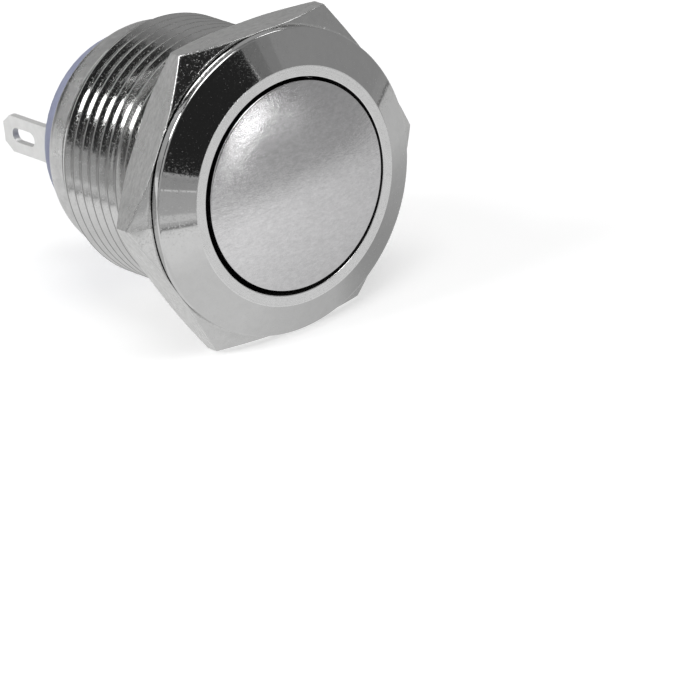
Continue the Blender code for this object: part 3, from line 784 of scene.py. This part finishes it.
# %% Strip and wire
def rolled_strip(name, dark, pale, roughness, stretch, metallic=1.0):
    """Bare or tinned metal. Its lines run along the axis with the smallest stretch."""
    material, tree, shader = new_finish(name, pale, metallic, roughness)
    where = place(tree)
    lines = noise(tree, place(tree, stretch), 0.08, 3.0, 0.6)
    tree.links.new(tint(tree, noise(tree, where, 0.8, 4.0), dark, pale), shader.inputs["Base Color"])
    tree.links.new(spread(tree, noise(tree, where, 1.2), roughness - 0.05, roughness + 0.05),
                   shader.inputs["Roughness"])
    relief(tree, shader, lines, 0.003)
    return material


tinned = rolled_strip("tinned_brass", (0.88, 0.88, 0.87), (0.95, 0.95, 0.94), 0.38,
                      stretch=(1.0, 0.08, 1.0), metallic=0.6)
wire = rolled_strip("drawn_wire", (0.48, 0.48, 0.49), (0.58, 0.58, 0.59), 0.24,
                    stretch=(1.0, 1.0, 1.0))
copper = rolled_strip("copper_alloy", (0.68, 0.38, 0.2), (0.8, 0.48, 0.28), 0.3,
                      stretch=(0.08, 1.0, 1.0))
contact_silver = rolled_strip("contact_silver", (0.78, 0.77, 0.73), (0.88, 0.87, 0.83), 0.25,
                              stretch=(1.0, 1.0, 1.0))
for node in ("terminal_left", "terminal_right"):
    ease_edges(node, 0.06)
    dress(node, tinned)
for node in ("cap_clip", "contact_spring", "stem_pin", "bridge_clip"):
    dress(node, wire)
dress("contact_bridge", copper)
for node in ("bridge_tip_left", "bridge_tip_right", "fixed_tip_left", "fixed_tip_right"):
    dress(node, contact_silver)
print("metal parts finished")

# %% [markdown]
# ## Return spring
# The spring that lifts the cap stands between the housing's web and the cap's roof. A curve with a round
# bevel would make such a coil too, but rings of points along the coil are joined by the same function as
# the turned pieces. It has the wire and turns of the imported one, and it is a mesh of its own because it
# gets shorter when the cap goes in.

# %% Return spring
COIL, WIRE_RADIUS, TURNS = 4.3, 0.25, 3.5
WIRE_SIDES, STEPS_A_TURN = 12, 40
SPRING_FRONT, SPRING_BACK = -0.7, 3.0
coil_steps = int(TURNS * STEPS_A_TURN)
wound = []
for k in range(coil_steps + 1):
    share = k / coil_steps
    angle = 2 * math.pi * TURNS * share
    outwards = Vector((math.cos(angle), 0.0, math.sin(angle)))
    y = SPRING_BACK - WIRE_RADIUS - (SPRING_BACK - SPRING_FRONT - 2 * WIRE_RADIUS) * share
    middle = outwards * COIL + Vector((0.0, y, 0.0))
    around = [2 * math.pi * n / WIRE_SIDES for n in range(WIRE_SIDES)]
    wound.append([(middle + WIRE_RADIUS * (outwards * math.cos(a) + Vector((0.0, math.sin(a), 0.0)))) * MM
                  for a in around])
first, last = [[sum(end, Vector()) / WIRE_SIDES] for end in (wound[0], wound[-1])]
spring = skin("coil_spring", [first] + wound + [last], closed=False)
spring.data.materials.append(wire)
smooth(spring, 50)
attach(spring, "body")
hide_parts("return_spring")
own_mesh(spring)
print("spring:", len(spring.data.polygons), "faces")

# %% [markdown]
# ## Floor
# The button lies on a plain white table that keeps its soft shadow. A brighter lamp would make the table
# white too, but it would burn out the button. So the table glows a little by itself, for the camera alone,
# and the glow grows with the distance until table and background are one. The table is left out of mirror
# images, because the metal would show the button's own shadow in it. The studio round the button stands
# in for it.


# %% Floor
GLOW_NEAR, GLOW_FAR = 60.0, 400.0    # millimetres from the button


def plain_floor(size, height):
    """A white table, with its half width and height in metres."""
    mesh = bpy.data.meshes.new("floor")
    mesh.from_pydata([(-size, -size, height), (size, -size, height), (size, size, height),
                      (-size, size, height)], [], [(0, 1, 2, 3)])
    floor = bpy.data.objects.new("floor", mesh)
    bpy.context.scene.collection.objects.link(floor)
    material, tree, shader = new_finish("white_table", (0.8, 0.8, 0.8), 0.0, 0.8)
    shader.inputs["Specular IOR Level"].default_value = 0.0
    seen = tree.nodes.new("ShaderNodeLightPath")
    shader.inputs["Emission Color"].default_value = (1.0, 1.0, 1.0, 1.0)
    away = tree.nodes.new("ShaderNodeVectorMath")
    away.operation = "LENGTH"
    tree.links.new(place(tree), away.inputs[0])
    glow = tree.nodes.new("ShaderNodeMath")
    glow.operation = "MULTIPLY"
    tree.links.new(seen.outputs["Is Camera Ray"], glow.inputs[0])
    tree.links.new(spread(tree, away.outputs["Value"], 0.5, 1.0, GLOW_NEAR, GLOW_FAR), glow.inputs[1])
    tree.links.new(glow.outputs[0], shader.inputs["Emission Strength"])
    mesh.materials.append(material)
    floor.visible_glossy = False
    return floor


floor = plain_floor(size=3.0, height=-0.0111)
print("floor at", floor.data.vertices[0].co.z * 1000, "mm")

# %% [markdown]
# ## Studio light
# Mirror-like metal shows whatever stands round it, so a studio photographer lights it with panels. Area
# lamps would do for the light, but panels with an even glow also look right in the metal. Two of them give
# light, and the rest only show in reflections: a black card in front draws the dark zone on the bevel, a
# grey one on the right keeps the rest of the bevel from burning out, and narrow ones draw the fine bands
# at the bevel's left. Three low ones close in front make the bright patch on the cap. A brightness of 1 is
# white.


# %% Panels
def towards(azimuth, elevation, distance):
    """A place round the button, by the direction in which it is seen from there."""
    a, e = math.radians(azimuth), math.radians(elevation)
    return Vector((math.sin(a) * math.cos(e), -math.cos(a) * math.cos(e), math.sin(e))) * distance


def panel(name, direction, distance, degrees, brightness, tilt=0.0, lights=False):
    """A glowing panel that faces the button. Its size is given in degrees as the button sees it."""
    w, h = [distance * math.tan(math.radians(d / 2)) for d in degrees]
    mesh = bpy.data.meshes.new(name)
    mesh.from_pydata([(-w, -h, 0), (w, -h, 0), (w, h, 0), (-w, h, 0)], [], [(0, 1, 2, 3)])
    material, tree, shader = new_finish(name, (0.0, 0.0, 0.0), 0.0, 1.0)
    shader.inputs["Specular IOR Level"].default_value = 0.0
    shader.inputs["Emission Color"].default_value = (1.0, 1.0, 1.0, 1.0)
    shader.inputs["Emission Strength"].default_value = brightness
    mesh.materials.append(material)
    board = bpy.data.objects.new(name, mesh)
    board.location = towards(*direction, distance)
    facing = (-board.location).to_track_quat("-Z", "Y").to_matrix()
    board.rotation_euler = (facing @ Matrix.Rotation(math.radians(tilt), 3, "Z")).to_euler()
    board.visible_camera = False
    board.visible_shadow = False
    board.visible_diffuse = lights
    bpy.context.scene.collection.objects.link(board)
    return board


# name, direction (azimuth, elevation), distance in metres, width and height in degrees, brightness
panel("top_light", (-20.0, 66.0), 0.6, (36.0, 28.0), 4.0, lights=True)
panel("left_light", (-104.0, 42.0), 0.3, (18.0, 14.5), 11.0, lights=True)
panel("rear_patch", (-156.0, 33.0), 0.5, (14.0, 10.0), 0.45)
panel("rear_sheet", (-142.0, -3.0), 0.4, (44.0, 14.0), 0.8)
panel("left_card", (-108.0, 36.0), 0.4, (30.0, 62.0), 0.03)
panel("black_card", (-3.5, 20.6), 0.26, (55.0, 40.5), 0.02)
panel("card_edge", (28.2, 26.0), 0.27, (6.6, 34.0), 0.19)
panel("card_fade", (34.0, 26.0), 0.272, (8.0, 36.0), 0.25)
panel("front_band", (-22.0, -16.6), 0.3, (44.0, 3.0), 0.64)
panel("front_line", (-22.0, -5.9), 0.3, (44.0, 0.6), 0.72)
panel("grey_card", (62.0, 20.0), 0.3, (76.0, 48.0), 0.3)
panel("bright_gap", (24.2, 27.0), 0.25, (0.9, 6.0), 0.6)
panel("rear_card", (180.0, 6.0), 0.4, (34.0, 26.0), 0.03)
panel("rear_light", (106.0, 54.0), 0.5, (14.0, 14.0), 3.0)
panel("low_light", (18.0, 2.4), 0.1, (11.0, 2.2), 7.0, tilt=50.0)
panel("low_streak", (13.0, -3.5), 0.1, (14.0, 3.0), 1.6, tilt=50.0)
panel("low_glow", (30.0, 0.0), 0.1, (9.0, 6.0), 0.7)
print("panels set up")

# %% [markdown]
# The world carries the rest of the studio. A picture of a room could stand here, but a few greys that
# follow the height are enough, and they can be set one by one. Three small tools turn the direction of a
# ray into such greys.


# %% Tools for the studio
def grey_steps(tree, value, steps):
    """Greys at rising values, blended in between. A ramp sorts its stops, so all places are set first."""
    low, high = steps[0][0] - 0.1, steps[-1][0] + 0.1
    made = tree.nodes.new("ShaderNodeValToRGB")
    stops = made.color_ramp.elements
    while len(stops) < len(steps):
        stops.new(0.5)
    for stop, (at, grey) in zip(stops, steps):
        stop.position = (at - low) / (high - low)
    for stop, (at, grey) in zip(stops, steps):
        stop.color = (grey, grey, grey, 1.0)
    tree.links.new(spread(tree, value, 0.0, 1.0, low, high), made.inputs["Fac"])
    return made.outputs["Color"]


def towards_side(tree, ray, side):
    """How far a ray goes towards a side, from -1 to 1."""
    facing = tree.nodes.new("ShaderNodeVectorMath")
    facing.operation = "DOT_PRODUCT"
    facing.inputs[1].default_value = side
    tree.links.new(ray, facing.inputs[0])
    return facing.outputs["Value"]


def dimmer_side(tree, ray, studio, side, dim, start, end):
    """The studio, dimmed more and more between two values of how far a ray goes towards a side."""
    dimmed = tree.nodes.new("ShaderNodeVectorMath")
    dimmed.operation = "SCALE"
    tree.links.new(studio, dimmed.inputs[0])
    tree.links.new(spread(tree, towards_side(tree, ray, side), 1.0, dim, start, end), dimmed.inputs["Scale"])
    return dimmed.outputs[0]


print("tools for the studio ready")

# %% [markdown]
# Below is the white table, which ends in front of the button in a thin dark edge, then come the grey room
# and its darker ceiling. Some sides are a little dimmer than the rest. Low on the right the table is darker:
# painted shadow, where the metal would mirror the button's own shadow. The camera itself sees plain white,
# so that the background is clean while the metal still has greys to mirror.

# %% Studio round the button
world = bpy.data.worlds.new("studio")
bpy.context.scene.world = world
world.use_nodes = True
tree = world.node_tree
sky = tree.nodes["Background"]
ray = tree.nodes.new("ShaderNodeTexCoord").outputs["Generated"]
apart = tree.nodes.new("ShaderNodeSeparateXYZ")
tree.links.new(ray, apart.inputs[0])
# the table's edge is a little slanted, and it lies lower in front than behind
above = tree.nodes.new("ShaderNodeMath")
above.operation = "SUBTRACT"
tree.links.new(towards_side(tree, ray, (-0.07, 0.0, 1.0)), above.inputs[0])
tree.links.new(spread(tree, apart.outputs["Y"], -0.32, -0.08, -0.5, 0.3), above.inputs[1])
studio = grey_steps(tree, above.outputs[0], ((-0.022, 0.8), (-0.013, 0.24), (-0.001, 0.24), (0.008, 0.46),
                                             (0.22, 0.42), (0.23, 0.33), (0.31, 0.33), (0.33, 0.42)))
studio = dimmer_side(tree, ray, studio, (1.0, 0.0, 0.0), dim=0.72, start=0.2, end=0.8)
studio = dimmer_side(tree, ray, studio, (0.0, 0.0, 1.0), dim=0.48, start=0.45, end=0.9)
studio = dimmer_side(tree, ray, studio, (0.0, 0.0, -1.0), dim=0.86, start=0.5, end=0.65)
# painted shadow: darker low on the right, where the metal would mirror the button's own shadow on the table
studio = dimmer_side(tree, ray, studio, (0.82, 0.1, -0.56), dim=0.62, start=0.96, end=1.0)
seen = tree.nodes.new("ShaderNodeLightPath")
view = tree.nodes.new("ShaderNodeMix")
view.data_type = "RGBA"
view.inputs["B"].default_value = (1.0, 1.0, 1.0, 1.0)
tree.links.new(seen.outputs["Is Camera Ray"], view.inputs["Factor"])
tree.links.new(studio, view.inputs["A"])
tree.links.new(view.outputs["Result"], sky.inputs["Color"])
sky.inputs["Strength"].default_value = 1.0
bpy.context.scene.view_settings.view_transform = "Standard"
print("studio set up,", len(tree.nodes), "nodes in the world")
